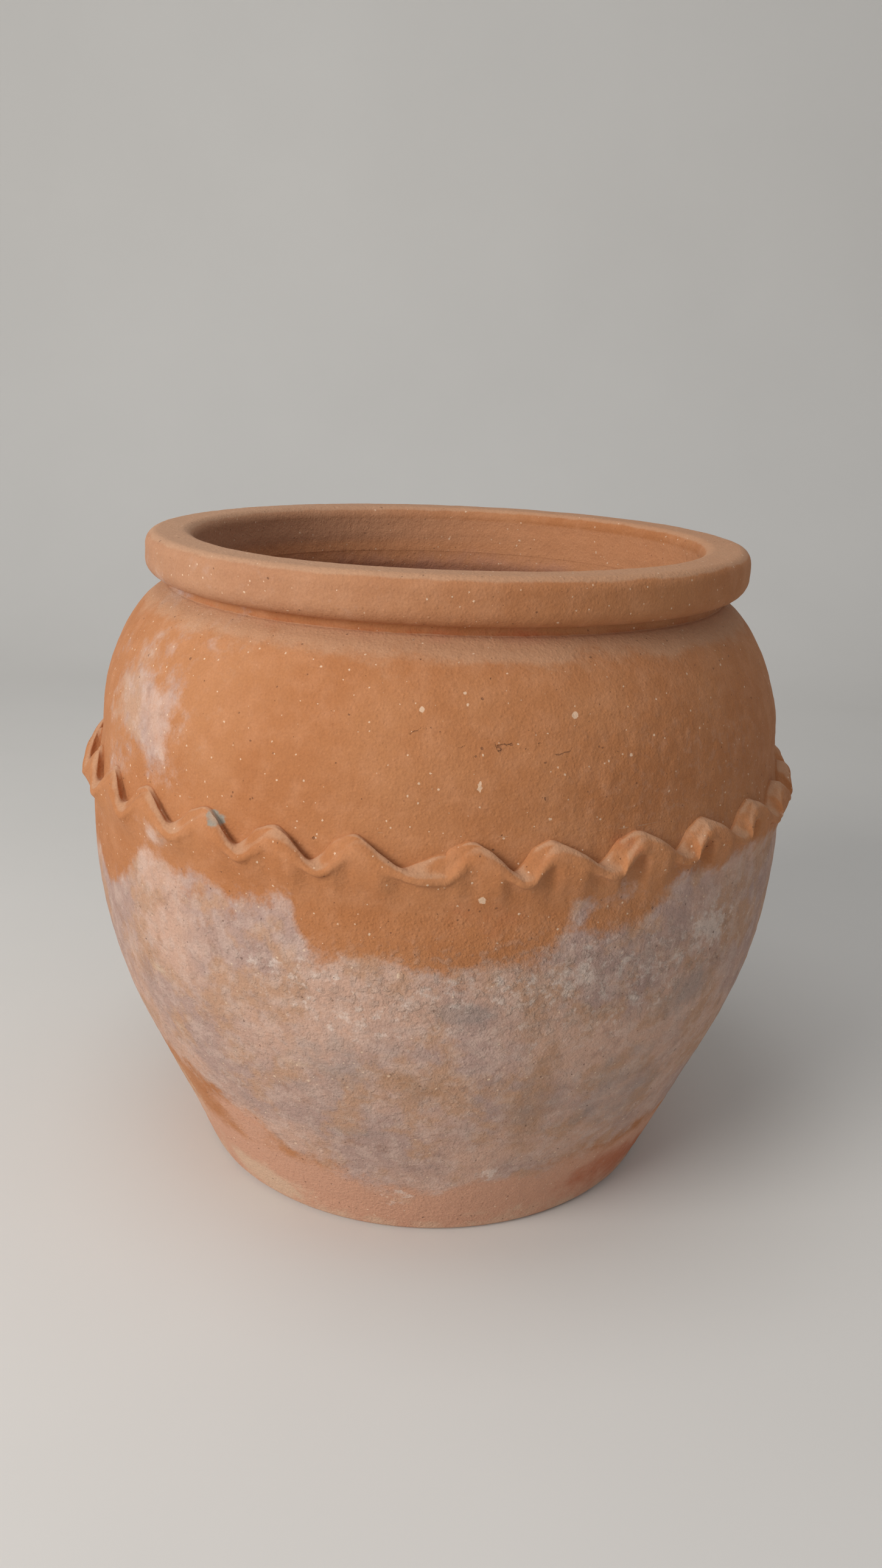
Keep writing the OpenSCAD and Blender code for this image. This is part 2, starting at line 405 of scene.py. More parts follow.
def join_runs(runs):
    """One closed outline from (kind, points) runs. A shared corner takes the kind of its visible run."""
    outline = []
    for kind, points in runs:
        tangent = unit(np.gradient(points, axis=0))
        normals = np.stack([tangent[:, 1], -tangent[:, 0]], axis=1)
        for point, normal in zip(points, normals):
            shared = bool(outline) and np.hypot(*(outline[-1][1] - point)) < 1e-7
            if shared and outline[-1][0] == "hidden":
                outline.pop()
            elif shared:
                continue
            outline.append((kind, point, normal))
    if np.hypot(*(outline[-1][1] - outline[0][1])) < 1e-7:
        outline.pop(-1 if outline[-1][0] == "hidden" else 0)
    kinds, points, normals = zip(*outline)
    return kinds, np.array(points), np.array(normals)


def turned(node, runs, divisions, material):
    """A turned piece: its closed outline revolved, then marked and bent by hand. The kinds of run are
    out and in (the wall's two sides), base (the underside) and hidden (joint faces)."""
    kinds, outline, normals = join_runs(runs)
    turn = np.radians(np.arange(divisions) * 360 / divisions)
    out = np.stack([np.sin(turn), -np.cos(turn)], axis=1)

    def revolve(pairs):
        around = out[:, None, :] * pairs[None, :, :1]
        up = np.broadcast_to(pairs[None, :, 1:], (divisions, len(pairs), 1))
        return np.concatenate([around, up], axis=2).reshape(-1, 3)

    def marked(kind):
        return np.tile([float(own == kind) for own in kinds], divisions)

    points, facing = revolve(outline), revolve(normals)
    relief = wall_relief(points, marked("in")) * (1 - marked("hidden"))
    relief = np.where(marked("base") > 0, -np.abs(relief), relief)
    relief = np.where(marked("out") > 0, relief * smooth(0, 6 * MM, points[:, 2]), relief)
    vertices = handmade(points + facing * relief[:, None])
    layers = stains(points, marked("in"), facing[:, 2], relief)
    return make_piece(node, vertices, band_faces(divisions, len(outline), True), layers, material)


# ---- frill --------------------------------------------------------------------------------------
BACK = 180              # degrees from the join at the front to the one at the back
ROOT_TOP = 28           # height of the ribbon's feathered upper end over the frill's middle, in mm
ROOT_LOW = -36          # height of its lower end
FOOT_LOW = -26          # height where the ribbon leaves the wall
SUNK = -0.7             # how deep both ends lie inside the wall, in mm
SEAT_ROWS = 5           # points of the section that are hidden in the seat
FRONT_ROWS = 44         # points from the lower root over the edge to the crease
BACK_ROWS = 9           # points from the crease to the upper root
LEAN = -3               # how far hanging flanks lean to the left, in mm
TORN = 0.8              # how uneven the torn ends of the strips are, in mm
FLANK_PHASE = 0.84      # part of a wave where the flank hangs over most
LOBE_PHASE = 0.12       # part of a wave where a hanging crest stands out most
LEAN_PHASE = 0.86       # part of a wave where a hanging flank leans most
LEFT_CRESTS = [-57, -45.7, -32.8, -21.4, -9.9]
RIGHT_CRESTS = [5.7, 16.4, 29.7, 41.8, 54.5, 66.5]
SOFT_HANG = 0.15        # how far the rising flanks of the left strip hang over
JOIN_PHASE = 0.64       # part of a wave that both strips have reached at the front join
# The ribbon by the part of a wave that has passed since the crest: how far its edge stands out, the height
# of its edge, half its thickness, the height of the crease at the wall, and how full its face is below the
# edge, from 0 for deeply undercut to 1 for plumb.
WAVE = {
    0.0: (7.6, 2.8, 4.2, 8.8, 1),
    0.13: (8.2, 1.6, 4, 4.4, 1),
    0.27: (9, -1.8, 3.4, -2, 0.95),
    0.42: (9.6, -6.8, 2.8, -6, 0.4),
    0.56: (9.8, -9.6, 2.6, -1.5, 0.35),
    0.68: (9.2, -7.8, 2.8, 5, 0.6),
    0.78: (8.2, -3.4, 3.6, 7.4, 0.95),
    0.9: (7.4, 1.4, 4, 9.4, 1),
}


def crest_angles():
    """Angles of the crests of both strips, each going up, with one crest on the back join."""
    chance = np.random.RandomState(7)
    behind_left = np.linspace(FRILL_JOIN - BACK, LEFT_CRESTS[0], 12)[:-1]
    behind_right = np.linspace(RIGHT_CRESTS[-1], FRILL_JOIN + BACK, 11)[1:]
    behind_left[1:] += chance.uniform(-0.9, 0.9, len(behind_left) - 1)
    behind_right[:-1] += chance.uniform(-0.9, 0.9, len(behind_right) - 1)
    left = np.concatenate([behind_left, LEFT_CRESTS])
    return left, np.concatenate([RIGHT_CRESTS, behind_right])


def spline_weights(count, rows):
    """Weights of count control points at rows places along a cubic B-spline that meets both ends."""
    knots = np.concatenate([[0] * 3, np.arange(count - 2), [count - 3] * 3])
    t = np.linspace(0, count - 3 - 1e-9, rows)
    weights = [((low <= t) & (t < high)).astype(float) for low, high in zip(knots, knots[1:])]
    for degree in (1, 2, 3):
        raised = []
        for i in range(len(weights) - 1):
            up, down = knots[i + degree] - knots[i], knots[i + degree + 1] - knots[i + 1]
            value = (t - knots[i]) / up * weights[i] if up else 0 * t
            raised.append(value + ((knots[i + degree + 1] - t) / down * weights[i + 1] if down else 0))
        weights = raised
    return np.array(weights).T


def wave_at(cycle):
    """The five values of WAVE at each part of a wave, passing smoothly through the given ones."""
    parts = np.array(list(WAVE))
    values = np.array(list(WAVE.values()), float)
    count = len(parts)
    gap = (np.roll(parts, -1) - parts) % 1
    slope = (np.roll(values, -1, axis=0) - np.roll(values, 1, axis=0)) / (gap + np.roll(gap, 1))[:, None]
    own = np.searchsorted(parts, cycle % 1, side="right") - 1
    after = (own + 1) % count
    wide = gap[own][:, None]
    t = (cycle % 1 - parts[own])[:, None] / wide
    start = values[own] * (1 + 2 * t) * (1 - t) ** 2 + slope[own] * wide * t * (1 - t) ** 2
    return (start + values[after] * t * t * (3 - 2 * t) - slope[after] * wide * t * t * (1 - t)).T


def frill_section(angle, cycle, ring, overhang, flattened):
    """The ribbon's section at every station, from its lower root out to the edge and back to its seat."""
    reach, edge_z, half, crease_z, full = wave_at(cycle)
    rising = overhang * smooth(0.3, 0.9, np.cos(2 * math.pi * (cycle - FLANK_PHASE)))
    lobe = overhang * smooth(0.2, 1, np.cos(2 * math.pi * (cycle - LOBE_PHASE)))
    uneven = 1 + 0.12 * gradient_noise(ring * 6.1, 93) - 0.15 * flattened
    reach = (reach + 2.4 * rising + 1.4 * lobe) * uneven
    lift = 1 + 0.12 * gradient_noise(ring * 7.3, 95)
    level = 0.8 * gradient_noise(ring * 8, 94) - 0.7 * ring[:, 1]
    edge_z, crease_z = edge_z * lift + level, crease_z * lift + level
    merged = 0.6 * smooth(-10, -40, angle) * (1 - smooth(-100, -140, angle))
    full = (full + (1 - full) * merged) * (1 - 0.95 * rising)
    low, top = edge_z - 1.1 * half, edge_z + 1.25 * half
    face = low + 1 + 2.5 * (1 - full)
    controls = [
        (SUNK, ROOT_LOW),
        (0.3, FOOT_LOW),
        (reach * (0.08 + 0.57 * full), 0.5 * (FOOT_LOW + face)),
        (reach * (0.2 + 0.8 * full), face - 3),
        (reach * (0.9 + 0.16 * full), low),
        (reach * 1.06, edge_z + 0.2 * half),
        (reach - half, top),
        (0.5 * reach, 0.55 * top + 0.45 * crease_z),
        (0.28 * reach, 0.08 * top + 0.92 * crease_z),
        (0.5, crease_z),
    ]
    front = on_spline(cycle, controls, FRONT_ROWS)
    back = [controls[-1], (0.4, np.maximum(crease_z + 1, 9)), (0.35, 15), (SUNK, ROOT_TOP)]
    back = on_spline(cycle, back, BACK_ROWS)
    section = np.concatenate([front, back[:, 1:]], axis=1) * MM + [0, FRILL_Z]
    seat_z = np.linspace(FRILL_Z + SEAT_HALF - 1 * MM, FRILL_Z - SEAT_HALF + 1 * MM, SEAT_ROWS)
    seat = np.stack([SEAT_R + 0.05 * MM - outer_r(seat_z), seat_z], axis=-1)
    return np.concatenate([section, np.tile(seat, (len(cycle), 1, 1))], axis=1)


def on_spline(stations, controls, rows):
    """A B-spline of (distance from the wall, height) points, at every station."""
    points = [np.stack([out + 0 * stations, z + 0 * stations], axis=-1) for out, z in controls]
    return np.einsum("rc,scx->srx", spline_weights(len(controls), rows), np.stack(points, axis=1))


def frill(node, angle, cycle, overhang, flattened, material):
    """A ribbon of clay pinched into waves. Cycle counts the waves that have passed at each angle, overhang
    says how far the rising flanks hang over, and flattened where the ribbon is pressed on harder."""
    stations = len(angle)
    ring = np.stack([np.cos(np.radians(angle)), np.sin(np.radians(angle)), 0 * angle], axis=1)
    section = frill_section(angle, cycle, ring, overhang, flattened)
    rows = section.shape[1]
    out, z = section[..., 0], section[..., 1]
    near_join = (1 - smooth(0, 3, np.abs(angle - FRILL_JOIN)))[:, None]
    flat = np.stack([out.ravel(), z.ravel(), 0 * z.ravel()], axis=1)
    torn = TORN * gradient_noise(flat / 0.004, 99).reshape(z.shape)
    flank = smooth(0.2, 1, np.cos(2 * math.pi * (cycle - LEAN_PHASE)))[:, None]
    lean = LEAN * overhang[:, None] * flank * np.clip(out / (9 * MM), 0, 1.2) ** 1.5
    drift = (lean * (1 - near_join) + torn * near_join) * MM
    radius = outer_r(z) + out
    turn = np.radians(angle)[:, None] + drift / radius
    grid = np.stack([radius * np.sin(turn), -radius * np.cos(turn), z], axis=-1)
    across = np.roll(grid, -1, axis=1) - np.roll(grid, 1, axis=1)
    facing = unit(np.cross(np.gradient(grid, axis=0), across)).reshape(-1, 3)
    points = grid.reshape(-1, 3)
    shown = np.tile(np.arange(rows) < rows - SEAT_ROWS, stations)
    own = (fractal(points, 0.013, 2, 101) * 0.5 + fractal(points, 0.005, 2, 103) * 0.18) * MM
    proud = smooth(0.5 * MM, 3 * MM, out.ravel())
    relief = (wall_relief(points, 0 * proud) * (1 - proud) + own * proud) * shown
    vertices = handmade(points + facing * relief[:, None])
    last = (stations - 1) * rows
    faces = band_faces(stations, rows, False)
    faces += [list(range(rows)), list(range(last + rows - 1, last - 1, -1))]
    layers = stains(points, np.zeros(len(points)), facing[:, 2], relief)
    # On the frill only the proud ribbon gets these paler tops, partly dust and partly painted light from
    # above.
    layers["dust_and_top_light"] *= smooth(0.5 * MM, 2.5 * MM, out.ravel())
    return make_piece(node, vertices, faces, layers, material)


def frill_strips(material, stations=1300):
    """The two strips, which meet at the front and straight behind."""
    left_crests, right_crests = crest_angles()
    angle = np.linspace(FRILL_JOIN - BACK, FRILL_JOIN - 0.005, stations)
    last = np.clip((angle - left_crests[-1]) / (FRILL_JOIN - left_crests[-1]), 0, 1)
    cycle = np.interp(angle, left_crests, np.arange(len(left_crests))) + JOIN_PHASE * (1 - (1 - last) ** 1.6)
    near_end = 1 - smooth(0, 4, FRILL_JOIN - angle)
    frill("frill_strip_left", angle, cycle, SOFT_HANG + 0 * angle, near_end, material)

    angle = np.linspace(FRILL_JOIN + 0.005, FRILL_JOIN + BACK, stations)
    first = right_crests[0] - (right_crests[0] - FRILL_JOIN) / (1 - JOIN_PHASE)
    right_crests = np.insert(right_crests, 0, first)                # the crest that the join cuts off
    cycle = np.interp(angle, right_crests, np.arange(len(right_crests)))
    near_end = 1 - smooth(0, 3, angle - FRILL_JOIN)
    overhang = SOFT_HANG + (1 - SOFT_HANG) * smooth(8, 30, angle) * (1 - smooth(150, BACK, angle))
    frill("frill_strip_right", angle, cycle, overhang, near_end, material)


# ---- turned pieces ------------------------------------------------------------------------------
DIVISIONS = 720         # steps around the pot
FINE_DIVISIONS = 1200   # steps around its upper pieces, which are seen from closest


def floor_slab(material):
    """The disc that the pot stands on, with the drain hole."""
    runs = [
        ("base", line((DRAIN_R, 0), (FOOT_R - FOOT_ROUND, 0), 40)),
        ("out", arc((FOOT_R - FOOT_ROUND, FOOT_ROUND), FOOT_ROUND, -90, 0, 8)),
        ("out", outer_run(FOOT_ROUND, FLOOR_T, 8)),
        ("hidden", key(FLOOR_T, outer_r(FLOOR_T), inner_r(FLOOR_T))),
        ("hidden", line((inner_r(FLOOR_T), FLOOR_T), (inner_r(FLOOR_T) - COIL_LEG, FLOOR_T), 3)),
        ("in", line((inner_r(FLOOR_T) - COIL_LEG, FLOOR_T), (DRAIN_R, FLOOR_T), 36)),
        ("in", line((DRAIN_R, FLOOR_T), (DRAIN_R, 0), 8)),
    ]
    return turned("floor_slab", runs, DIVISIONS, material)


def floor_coil(material):
    """The coil pressed into the corner of floor and wall."""
    corner = np.array([inner_r(FLOOR_T), FLOOR_T])
    on_wall = np.array([inner_r(COIL_TOP), COIL_TOP])
    on_floor = corner - [COIL_LEG, 0]
    middle = corner + ((on_wall + on_floor) / 2 - corner) * 0.45
    t = np.linspace(0, 1, 24)[:, None]
    hollow = (1 - t) ** 2 * on_wall + 2 * t * (1 - t) * middle + t * t * on_floor
    runs = [
        ("in", hollow),
        ("hidden", line(on_floor, corner, 3)),
        ("hidden", inner_run(FLOOR_T, COIL_TOP, 4)),
    ]
    return turned("floor_coil", runs, DIVISIONS, material)


def body_ring(material):
    """The ring from the floor to the joint behind the frill."""
    seat_low = FRILL_Z - SEAT_HALF
    runs = [
        ("out", outer_run(FLOOR_T, seat_low, 102)),
        ("hidden", line((outer_r(seat_low), seat_low), (SEAT_R, seat_low), 2)),
        ("hidden", line((SEAT_R, seat_low), (SEAT_R, FRILL_Z), 3)),
        ("hidden", key(FRILL_Z, SEAT_R, inner_r(FRILL_Z), 2)),
        ("in", inner_run(FRILL_Z, COIL_TOP, 24)),
        ("hidden", inner_run(COIL_TOP, FLOOR_T, 3)),
        ("hidden", key(FLOOR_T, inner_r(FLOOR_T), outer_r(FLOOR_T), 2)),
    ]
    return turned("body_ring", runs, DIVISIONS, material)


def shoulder_ring(material):
    """The ring from the frill up to the upper joint."""
    seat_high = FRILL_Z + SEAT_HALF
    runs = [
        ("hidden", line((SEAT_R, FRILL_Z), (SEAT_R, seat_high), 3)),
        ("hidden", line((SEAT_R, seat_high), (outer_r(seat_high), seat_high), 2)),
        ("out", outer_run(seat_high, UPPER_JOINT_Z, 40)),
        ("hidden", key(UPPER_JOINT_Z, outer_r(UPPER_JOINT_Z), inner_r(UPPER_JOINT_Z), 2)),
        ("in", inner_run(UPPER_JOINT_Z, FRILL_Z, 22)),
        ("hidden", key(FRILL_Z, inner_r(FRILL_Z), SEAT_R, 2)),
    ]
    return turned("shoulder_ring", runs, FINE_DIVISIONS, material)


def neck_ring(material):
    """The ring that turns in under the rim."""
    runs = [
        ("out", outer_run(UPPER_JOINT_Z, NECK_Z, 46)),
        ("hidden", key(NECK_Z, outer_r(NECK_Z), inner_r(NECK_Z), 2)),
        ("in", inner_run(NECK_Z, UPPER_JOINT_Z, 26)),
        ("hidden", key(UPPER_JOINT_Z, inner_r(UPPER_JOINT_Z), outer_r(UPPER_JOINT_Z), 2)),
    ]
    return turned("neck_ring", runs, FINE_DIVISIONS, material)


def rim_coil(material):
    """The rolled rim, with a crease under it."""
    crease_top = NECK_Z + CREASE_H
    low, top = RIM_ROUND_LOW, RIM_ROUND_TOP
    slope = unit(np.array([outer_r(NECK_Z) - outer_r(NECK_Z - 1 * MM), 1 * MM])) * 3 * MM
    start = np.array([outer_r(NECK_Z), NECK_Z])
    crease = [start, start + slope, (start[0] - 1 * MM, crease_top), (RIM_R - low, crease_top)]
    runs = [
        ("out", bezier(crease, np.linspace(0, 1, 14))),
        ("out", arc((RIM_R - low, crease_top + low), low, -90, 0, 14)),
        ("out", line((RIM_R, crease_top + low), (RIM_R, POT_H - top), 6)),
        ("out", arc((RIM_R - top, POT_H - top), top, 0, 90, 12)),
        ("out", line((RIM_R - top, POT_H), (MOUTH_R + top, POT_H), 12)),
        ("out", arc((MOUTH_R + top, POT_H - top), top, 90, 180, 12)),
        ("in", line((MOUTH_R, POT_H - top), (MOUTH_R, NECK_Z), 14)),
        ("hidden", key(NECK_Z, MOUTH_R, outer_r(NECK_Z), 2)),
    ]
    return turned("rim_coil", runs, FINE_DIVISIONS, material)


# ---- materials ----------------------------------------------------------------------------------
def colour(red, green, blue):
    """A linear colour from its 0 to 255 display values."""
    return tuple((channel / 255) ** 2.2 for channel in (red, green, blue)) + (1,)


class Tree:
    """Short ways to add nodes to one material."""

    def __init__(self, name):
        self.material = bpy.data.materials.new(name)
        self.material.use_nodes = True
        self.nodes = self.material.node_tree.nodes
        self.links = self.material.node_tree.links
        self.nodes.clear()
        self.place = self.add("TexCoord").outputs["Object"]

    def add(self, kind, inputs=None, **settings):
        node = self.nodes.new("ShaderNode" + kind)
        for setting, value in settings.items():
            setattr(node, setting, value)
        for socket, value in (inputs or {}).items():
            if isinstance(value, bpy.types.NodeSocket):
                self.links.new(value, node.inputs[socket])
            else:
                node.inputs[socket].default_value = value
        return node

    def layer(self, name):
        return self.add("Attribute", attribute_name=name).outputs["Fac"]

    def math(self, operation, a, b=0.0):
        return self.add("Math", {0: a, 1: b}, operation=operation).outputs[0]

    def noise(self, size, detail=2.0, shift=0.0, stretch=(1, 1, 1), roughness=0.55):
        """Noise of 0 to 1 whose largest blobs are about size metres across."""
        scale = [1 / (size * s) for s in stretch]
        place = self.add("Mapping", {"Vector": self.place, "Scale": scale, "Location": [shift] * 3})
        inputs = {"Vector": place.outputs[0], "Scale": 1.0, "Detail": detail, "Roughness": roughness}
        return self.add("TexNoise", inputs).outputs["Fac"]

    def cells(self, size, shift=0.0):
        """Distance to the nearest of many scattered points, and a random colour for each."""
        inputs = {"Vector": self.place, "Scale": [1 / size] * 3, "Location": (shift, 0, shift)}
        place = self.add("Mapping", inputs)
        return self.add("TexVoronoi", {"Vector": place.outputs[0], "Scale": 1.0})

    def ramp(self, value, low, high):
        """0 below low and 1 above high; high may be the smaller one."""
        inputs = {"Value": value, "From Min": low, "From Max": high}
        return self.add("MapRange", inputs, interpolation_type="SMOOTHSTEP").outputs[0]

    def mix(self, factor, a, b, blend="MIX"):
        return self.add("Mix", {0: factor, 6: a, 7: b}, data_type="RGBA", blend_type=blend).outputs[2]

    def coat(self, under, layer, tint, size, strength, shift, ragged=1.5):
        """A soft-edged layer over the colour under, for stains and for painted light. Noise whose largest
        blobs have this size breaks up its edge.
        """
        noise = self.math("SUBTRACT", self.noise(size, 8, shift, roughness=0.68), 0.5)
        broken = self.math("ADD", self.layer(layer), self.math("MULTIPLY", noise, ragged))
        near = self.math("MULTIPLY", self.ramp(self.layer(layer), 0.02, 0.12), strength)
        return self.mix(self.math("MULTIPLY", self.ramp(broken, 0.25, 0.8), near), under, tint)

    def scatter(self, size, shift, radius, share):
        """Spots of up to about this radius, 1 inside. This share of the cells of this size holds one."""
        cells = self.cells(size, shift)
        chance = self.add("SeparateColor", {0: cells.outputs["Color"]}).outputs
        own = self.math("MULTIPLY", self.math("ADD", chance[1], 0.35), radius / size)
        ragged = self.math("MULTIPLY", self.math("SUBTRACT", self.noise(radius, 2, shift), 0.5), 1.4)
        away = self.math("ADD", self.math("DIVIDE", cells.outputs["Distance"], own), ragged)
        inside = self.ramp(away, 0.8, 0.55)
        return self.math("MULTIPLY", inside, self.ramp(chance[0], share, share - 0.02))


def bloom_colour(tree):
    """Lime bloom, which drifts between pink, mauve grey and tan."""
    grey = tree.ramp(tree.noise(0.07, 4, 61), 0.4, 0.6)
    tone = tree.mix(grey, colour(204, 166, 146), colour(178, 150, 140))
    warm = tree.ramp(tree.noise(0.035, 5, 67, roughness=0.6), 0.47, 0.6)
    tone = tree.mix(warm, tone, colour(190, 150, 124))
    dark = tree.ramp(tree.noise(0.016, 5, 73, roughness=0.65), 0.54, 0.7)
    tone = tree.mix(tree.math("MULTIPLY", dark, 0.5), tone, colour(150, 118, 104))
    mottle = tree.ramp(tree.noise(0.011, 5, 71, roughness=0.6), 0.45, 0.66)
    return tree.mix(tree.math("MULTIPLY", mottle, 0.45), tone, colour(214, 188, 174))


def bare_clay(tree):
    """Fired clay, painted a little paler inside the pot: partly duller clay, partly painted light on the
    shaded inner wall.
    """
    light = tree.ramp(tree.noise(0.09, 4, 3), 0.35, 0.65)
    tone = tree.mix(light, colour(176, 113, 69), colour(184, 124, 81))
    mottle = tree.ramp(tree.noise(0.012, 5, 7), 0.4, 0.8)
    tone = tree.mix(tree.math("MULTIPLY", mottle, 0.5), tone, colour(198, 138, 98))
    # Paler inside: partly the clay's own duller tone, partly painted light on the inner wall.
    tone = tree.mix(tree.math("MULTIPLY", tree.layer("inside"), 0.6), tone, colour(200, 140, 100))
    tone = tree.coat(tone, "deep", colour(186, 134, 112), 0.05, 0.75, 9)
    return tree.mix(tree.math("MULTIPLY", tree.layer("veil"), 0.4), tone, colour(182, 146, 122))


def stained(tree, tone, flakes):
    """The clay under its stains, from the oldest to the newest, with painted shade in the cove under the rim
    and painted light on faces turned up.
    """
    tone = tree.coat(tone, "blush", colour(206, 156, 130), 0.03, 0.85, 10)
    # Rust spots, and painted shade in the cove under the rim.
    tone = tree.coat(tone, "rust_and_cove_shade", colour(178, 98, 60), 0.03, 0.8, 11)
    tone = tree.coat(tone, "bloom", bloom_colour(tree), 0.022, 0.88, 13, 2.1)
    tone = tree.coat(tone, "tan", colour(172, 128, 94), 0.02, 0.6, 17)
    tone = tree.coat(tone, "slate", colour(158, 142, 134), 0.016, 0.55, 19)
    tone = tree.coat(tone, "cream", colour(210, 180, 152), 0.018, 0.7, 23)
    tone = tree.mix(tree.math("MULTIPLY", flakes, 0.3), tone, colour(206, 184, 168))
    tone = tree.coat(tone, "chalk", colour(228, 208, 194), 0.007, 0.6, 29, 3.2)
    tone = tree.coat(tone, "lichen", colour(152, 142, 128), 0.003, 1.0, 101)
    # Paler faces turned up: partly dust, partly painted light from above.
    return tree.coat(tone, "dust_and_top_light", colour(198, 156, 124), 0.02, 0.55, 31)


def flake_marks(tree):
    """Thin flakes of lime, where the bloom is crusted."""
    flakes = tree.ramp(tree.noise(0.0055, 6, 97, roughness=0.62), 0.5, 0.64)
    return tree.math("MULTIPLY", flakes, tree.layer("crust"))


def fleck_and_glint_marks(tree):
    """Pale specks in the clay, partly lime and partly painted glints off the grit, and chips."""
    large, small = tree.scatter(0.0115, 0, 0.0011, 0.3), tree.scatter(0.0055, 7, 0.00075, 0.8)
    ragged = tree.math("MULTIPLY", tree.math("SUBTRACT", tree.noise(0.003, 4, 103), 0.5), 1.6)
    chips = tree.ramp(tree.math("ADD", tree.layer("chip"), ragged), 0.45, 0.6)
    return tree.math("MAXIMUM", tree.math("MAXIMUM", large, small), chips)


def pit_marks(tree):
    """Small dark pits."""
    large, small = tree.scatter(0.011, 5, 0.0009, 0.4), tree.scatter(0.006, 9, 0.0006, 0.5)
    return tree.math("MAXIMUM", large, small)


def crack_marks(tree):
    """A broken line of fine cracks along the upper joint."""
    wander = tree.math("MULTIPLY", tree.math("SUBTRACT", tree.noise(0.014, 3, 41), 0.5), 18.0)
    away = tree.math("ABSOLUTE", tree.math("ADD", tree.layer("crack_at"), wander))
    crack = tree.math("MULTIPLY", tree.ramp(away, 0.45, 0.1), tree.layer("crack"))
    return tree.math("MULTIPLY", crack, tree.ramp(tree.noise(0.009, 3, 43), 0.5, 0.6))


def surface_height(tree, flakes, pits, crack):
    """Height of the fine grain that the mesh is too coarse for."""
    height = tree.math("MULTIPLY", tree.noise(0.0026, 5, 47, roughness=0.6), 0.55)
    grit = tree.ramp(tree.cells(0.0022, 3).outputs["Distance"], 0.5, 0.1)
    combed = tree.noise(0.0045, 5, 83, stretch=(1, 1, 1.5), roughness=0.65)
    combed = tree.math("MULTIPLY", combed, tree.layer("dragged"))
    crusted = tree.math("MULTIPLY", tree.noise(0.0035, 5, 89, roughness=0.7), tree.layer("crust"))
    parts = [(grit, 0.1), (combed, 0.6), (crusted, 1.2), (flakes, 0.4), (pits, -0.6), (crack, -0.8)]
    for marks, depth in parts:
        height = tree.math("ADD", height, tree.math("MULTIPLY", marks, depth))
    return height


def clay(name, roughness, coarse):
    """Fired terracotta with lime bloom, dirt and flecks, and painted light: paler faces turned up, glints
    among the flecks, a paler inside and shade where the relief is sunk. Coarse is the depth of the grain in
    metres.
    """
    tree = Tree(name)
    flakes, pits, crack = flake_marks(tree), pit_marks(tree), crack_marks(tree)
    tone = stained(tree, bare_clay(tree), flakes)
    grain = tree.ramp(tree.noise(0.0013, 3, 37), 0.3, 0.7)
    tone = tree.mix(tree.math("MULTIPLY", grain, 0.12), tone, colour(120, 84, 64), "MULTIPLY")
    # Painted shade: darker brown where the relief is sunk.
    low = tree.ramp(tree.layer("relief"), -0.2, -0.8)
    tone = tree.mix(tree.math("MULTIPLY", low, 0.2), tone, colour(120, 78, 56))
    # Pale specks: partly lime and chips, partly painted glints.
    tone = tree.mix(tree.math("MULTIPLY", fleck_and_glint_marks(tree), 0.65), tone, colour(232, 202, 172))
    tone = tree.mix(tree.math("MULTIPLY", pits, 0.5), tone, colour(100, 62, 44))
    tone = tree.mix(tree.math("MULTIPLY", crack, 0.45), tone, colour(110, 66, 46))
    height = surface_height(tree, flakes, pits, crack)
    bump = tree.add("Bump", {"Height": height, "Strength": 1.0, "Distance": coarse})
    matt = tree.math("ADD", tree.math("MULTIPLY", tree.noise(0.006, 3, 59), 0.12), roughness)
    surface = tree.add("BsdfPrincipled", {"Base Color": tone, "Roughness": matt, "Normal": bump.outputs[0]})
    tree.add("OutputMaterial", {"Surface": surface.outputs[0]})
    return tree.material


# ---- stage --------------------------------------------------------------------------------------
def backdrop():
    """A pale floor that curves up behind the pot into a plain backdrop."""
    front, back, bend, height, half_width = -3.0, 2.2, 0.9, 4.0, 6.0
    turns = np.radians(np.arange(0, 91, 6))
    curve = [(back - bend + bend * math.sin(a), bend - bend * math.cos(a)) for a in turns]
    profile = [(front, 0)] + curve + [(back, height)]
    vertices = [(x, y, z) for y, z in profile for x in (-half_width, half_width)]
    faces = [(2 * i, 2 * i + 1, 2 * i + 3, 2 * i + 2) for i in range(len(profile) - 1)]
    mesh = bpy.data.meshes.new("backdrop")
    mesh.from_pydata(vertices, [], faces)
    mesh.shade_smooth()
    tree = Tree("backdrop_paint")
    shade = tree.mix(tree.noise(0.4, 3), colour(214, 211, 206), colour(222, 219, 214))
    surface = tree.add("BsdfPrincipled", {"Base Color": shade, "Roughness": 0.9})
    tree.add("OutputMaterial", {"Surface": surface.outputs[0]})
    mesh.materials.append(tree.material)
    stage = bpy.data.objects.new("backdrop", mesh)
    bpy.context.scene.collection.objects.link(stage)


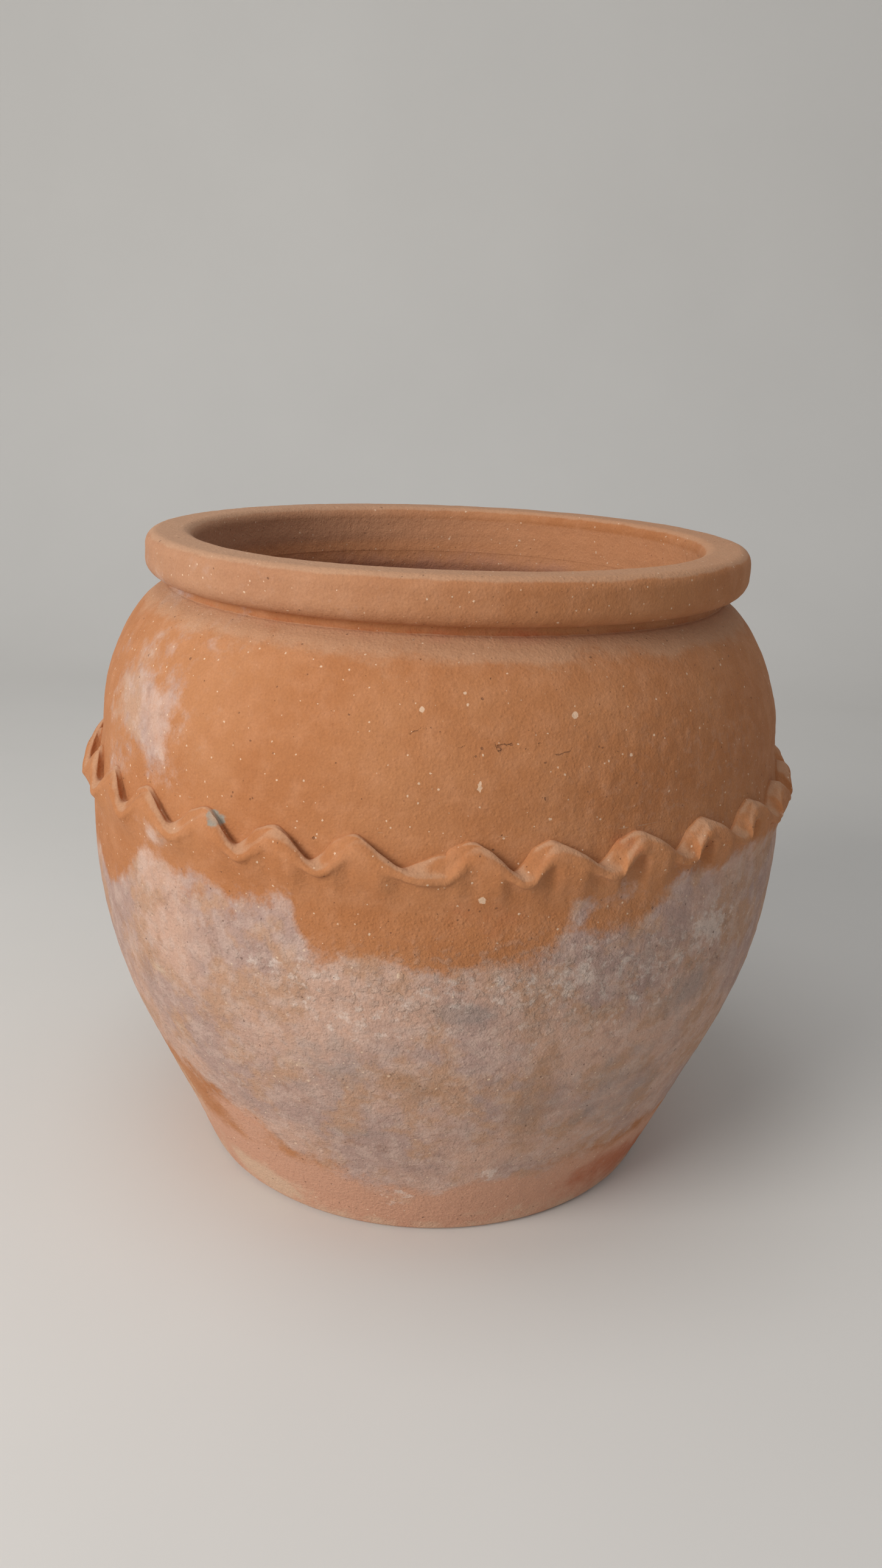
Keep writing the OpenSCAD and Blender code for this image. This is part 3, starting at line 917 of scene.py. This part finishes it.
def area_light(name, place, target, size, power, tint=(1, 1, 1)):
    """A round soft light that shines at the target."""
    light = bpy.data.lights.new(name, "AREA")
    light.shape = "DISK"
    light.size = size
    light.energy = power
    light.color = tint
    lamp = bpy.data.objects.new(name, light)
    lamp.location = place
    lamp.rotation_euler = (Vector(target) - Vector(place)).to_track_quat("-Z", "Y").to_euler()
    bpy.context.scene.collection.objects.link(lamp)


def lights():
    """Soft light from the left and above, and an even dim studio around."""
    middle = (0, 0, POT_H * 0.55)
    area_light("key_light", (-1.7, -1.6, 1.25), middle, 1.5, 44, (1, 0.98, 0.95))
    area_light("top_light", (-0.4, -0.3, 2.4), middle, 1.2, 9, (0.96, 0.98, 1))
    world = bpy.data.worlds.new("studio")
    world.use_nodes = True
    background = world.node_tree.nodes["Background"]
    background.inputs["Color"].default_value = (0.95, 0.97, 1, 1)
    background.inputs["Strength"].default_value = 0.38
    bpy.context.scene.world = world
    bpy.context.scene.view_settings.view_transform = "Standard"


CAMERA_PLACE = (0, -0.846, 0.526)
CAMERA_TURN = (0.18, 17.9, 2.31)    # yaw, pitch down and roll, in degrees
CAMERA_LENS = 28.58                 # focal length in mm


def camera():
    """Looks down at the pot from close in front, tilted slightly sideways."""
    yaw, pitch, roll = (math.radians(a) for a in CAMERA_TURN)
    ahead = Vector((math.sin(yaw) * math.cos(pitch), math.cos(yaw) * math.cos(pitch), -math.sin(pitch)))
    level = Vector((math.cos(yaw), -math.sin(yaw), 0))
    raised = level.cross(ahead)
    right = math.cos(roll) * level + math.sin(roll) * raised
    up = math.cos(roll) * raised - math.sin(roll) * level
    lens = bpy.data.cameras.new("camera")
    lens.lens = CAMERA_LENS
    lens.clip_start = 0.01
    view = bpy.data.objects.new("camera", lens)
    view.matrix_world = Matrix((right, up, -ahead)).transposed().to_4x4()
    view.location = CAMERA_PLACE
    bpy.context.scene.collection.objects.link(view)
    bpy.context.scene.camera = view


# ---- the pot ------------------------------------------------------------------------------------
fired = clay("terracotta", 0.84, 0.0010)
weathered = clay("weathered_terracotta", 0.88, 0.0017)
floor_slab(weathered)
floor_coil(fired)
body_ring(weathered)
shoulder_ring(fired)
neck_ring(fired)
rim_coil(fired)
frill_strips(fired)
backdrop()
lights()
camera()
